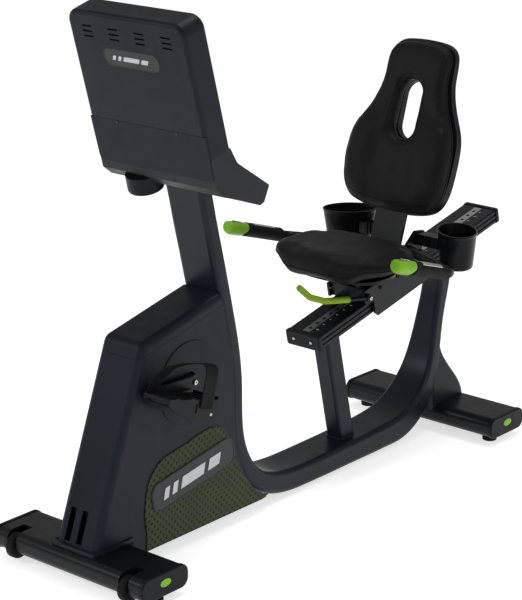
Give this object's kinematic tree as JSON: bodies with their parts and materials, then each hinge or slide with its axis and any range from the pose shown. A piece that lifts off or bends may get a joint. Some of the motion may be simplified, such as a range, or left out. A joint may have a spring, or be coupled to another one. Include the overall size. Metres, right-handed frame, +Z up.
{
  "type": "recumbent exercise bike",
  "caption": "Recumbent exercise bike: bent tube frame on two floor bars, pedal housing, tall console, sliding padded seat with backrest, side handles and cup holders.",
  "frame": {"origin": "centre of the bounding box on the floor, z = 0 at the levelling feet", "axes": "+Z up, +Y from the drive end towards the rear floor bar behind the seat, +X towards the rider's left"},
  "size_m": [0.629, 1.7701, 1.3977],
  "materials": {
    "frame_paint": "satin, fine powder coat",
    "mast_paint": "satin",
    "housing_plastic": "fine texture",
    "console_plastic": "fine texture",
    "tray_plastic": "fine texture",
    "cap_plastic": "satin",
    "lime_plastic": "semi-gloss",
    "olive_plastic": "satin with a fine dot grid",
    "badge_plastic": "semi-gloss",
    "plate_silver": "brushed",
    "port_plastic": "matte",
    "bright_steel": "machined",
    "iron": "machined",
    "pulley_plastic": "satin",
    "belt_rubber": "matte",
    "crank_paint": "satin",
    "pedal_plastic": "satin",
    "strap_rubber": "matte",
    "wheel_rubber": "matte",
    "foot_rubber": "matte",
    "screen": "gloss",
    "fascia_plastic": "semi-gloss",
    "keys_plastic": "satin",
    "rail_metal": "satin",
    "vinyl": "soft grained vinyl",
    "grip_rubber": "matte, fine texture",
    "cup_plastic": "satin",
    "pod_plastic": "semi-gloss",
    "button_plastic": "semi-gloss"
  },
  "bodies": {
    "frame": {"bar_end_caps": "cap_plastic", "bottom_bracket": "frame_paint", "cap_plugs": "lime_plastic", "console_back_cover": "console_plastic", "console_base": "tray_plastic", "console_fascia": "fascia_plastic", "console_plate": "badge_plastic", "console_screen": "screen", "console_shell": "console_plastic", "cover_screws": "bright_steel", "crank_bearings": "bright_steel", "crank_covers": "housing_plastic", "drive_belt": "belt_rubber", "flywheel_stands": "frame_paint", "front_bar": "frame_paint", "housing_shell": "housing_plastic", "housing_top_cover": "housing_plastic", "index_strip": "plate_silver", "keypad_panel": "keys_plastic", "levelling_feet": "foot_rubber", "main_frame": "mast_paint", "port_insert": "port_plastic", "rail_caps": "cap_plastic", "rear_bar": "frame_paint", "seat_rail": "rail_metal", "sensor_pod": "pod_plastic", "side_panels": "olive_plastic", "side_plates": "badge_plastic", "wheel_axles": "bright_steel"},
    "crank": {"crank_axle": "bright_steel", "crank_arms": "crank_paint", "drive_pulley": "pulley_plastic", "pedal_spindles": "bright_steel"},
    "near_pedal": {"pedal_left": "pedal_plastic", "strap_left": "strap_rubber"},
    "far_pedal": {"pedal_right": "pedal_plastic", "strap_right": "strap_rubber"},
    "flywheel": {"flywheel": "iron", "pulley_shaft": "bright_steel"},
    "left_wheel": {"transport_wheel_left": "wheel_rubber"},
    "right_wheel": {"transport_wheel_right": "wheel_rubber"},
    "carriage": {"carriage_box": "frame_paint", "carriage_cheeks": "frame_paint", "glide_pads": "cap_plastic", "pivot_pins": "bright_steel", "seat_pan": "frame_paint", "seat_cushion": "vinyl", "back_mounts": "frame_paint", "backrest_stem": "frame_paint", "backrest_shell": "cap_plastic", "backrest_cushion": "vinyl", "cup_holders": "cup_plastic", "handle_bars": "frame_paint", "grips": "grip_rubber", "pulse_plates": "bright_steel", "handle_ends": "lime_plastic"},
    "lever": {"lever_rod": "crank_paint", "lever_sleeve": "lime_plastic"},
    "left_button": {"button_left": "button_plastic"},
    "right_button": {"button_right": "button_plastic"}
  },
  "joints": [
    {"name": "crank_spin", "type": "hinge", "parent": "frame", "child": "crank", "pos_m": [0, -0.494, 0.448], "axis": [1, 0, 0], "continuous": true},
    {"name": "near_pedal_spin", "type": "hinge", "parent": "crank", "child": "near_pedal", "pos_m": [0.14, -0.65775, 0.457], "axis": [1, 0, 0], "continuous": true},
    {"name": "far_pedal_spin", "type": "hinge", "parent": "crank", "child": "far_pedal", "pos_m": [-0.14, -0.33025, 0.439], "axis": [1, 0, 0], "continuous": true},
    {"name": "flywheel_spin", "type": "hinge", "parent": "frame", "child": "flywheel", "pos_m": [0, -0.56, 0.212], "axis": [1, 0, 0], "continuous": true},
    {"name": "left_wheel_spin", "type": "hinge", "parent": "frame", "child": "left_wheel", "pos_m": [0.196, -0.852, 0.042], "axis": [1, 0, 0], "continuous": true},
    {"name": "right_wheel_spin", "type": "hinge", "parent": "frame", "child": "right_wheel", "pos_m": [-0.196, -0.852, 0.042], "axis": [1, 0, 0], "continuous": true},
    {"name": "seat_slide", "type": "slide", "parent": "frame", "child": "carriage", "axis": [0, 0.9748, 0.2233], "range_m": [-0.12, 0.3]},
    {"name": "lever_pull", "type": "hinge", "parent": "carriage", "child": "lever", "pos_m": [0.074, 0.23464, 0.4936], "axis": [-1, 0, 0], "range_deg": [0, 10], "stiffness_Nm_per_rad": 1.5, "springref_deg": -11.46},
    {"name": "left_button_press", "type": "slide", "parent": "carriage", "child": "left_button", "axis": [0, -0.3007, -0.9537], "range_m": [0, 0.0012], "stiffness_N_per_m": 800, "springref_m": -0.0003},
    {"name": "right_button_press", "type": "slide", "parent": "carriage", "child": "right_button", "axis": [0, -0.3007, -0.9537], "range_m": [0, 0.0012], "stiffness_N_per_m": 800, "springref_m": -0.0003}
  ],
  "couplings": [
    {"joint": "flywheel_spin", "follows": "crank_spin", "ratio": 4}
  ]
}
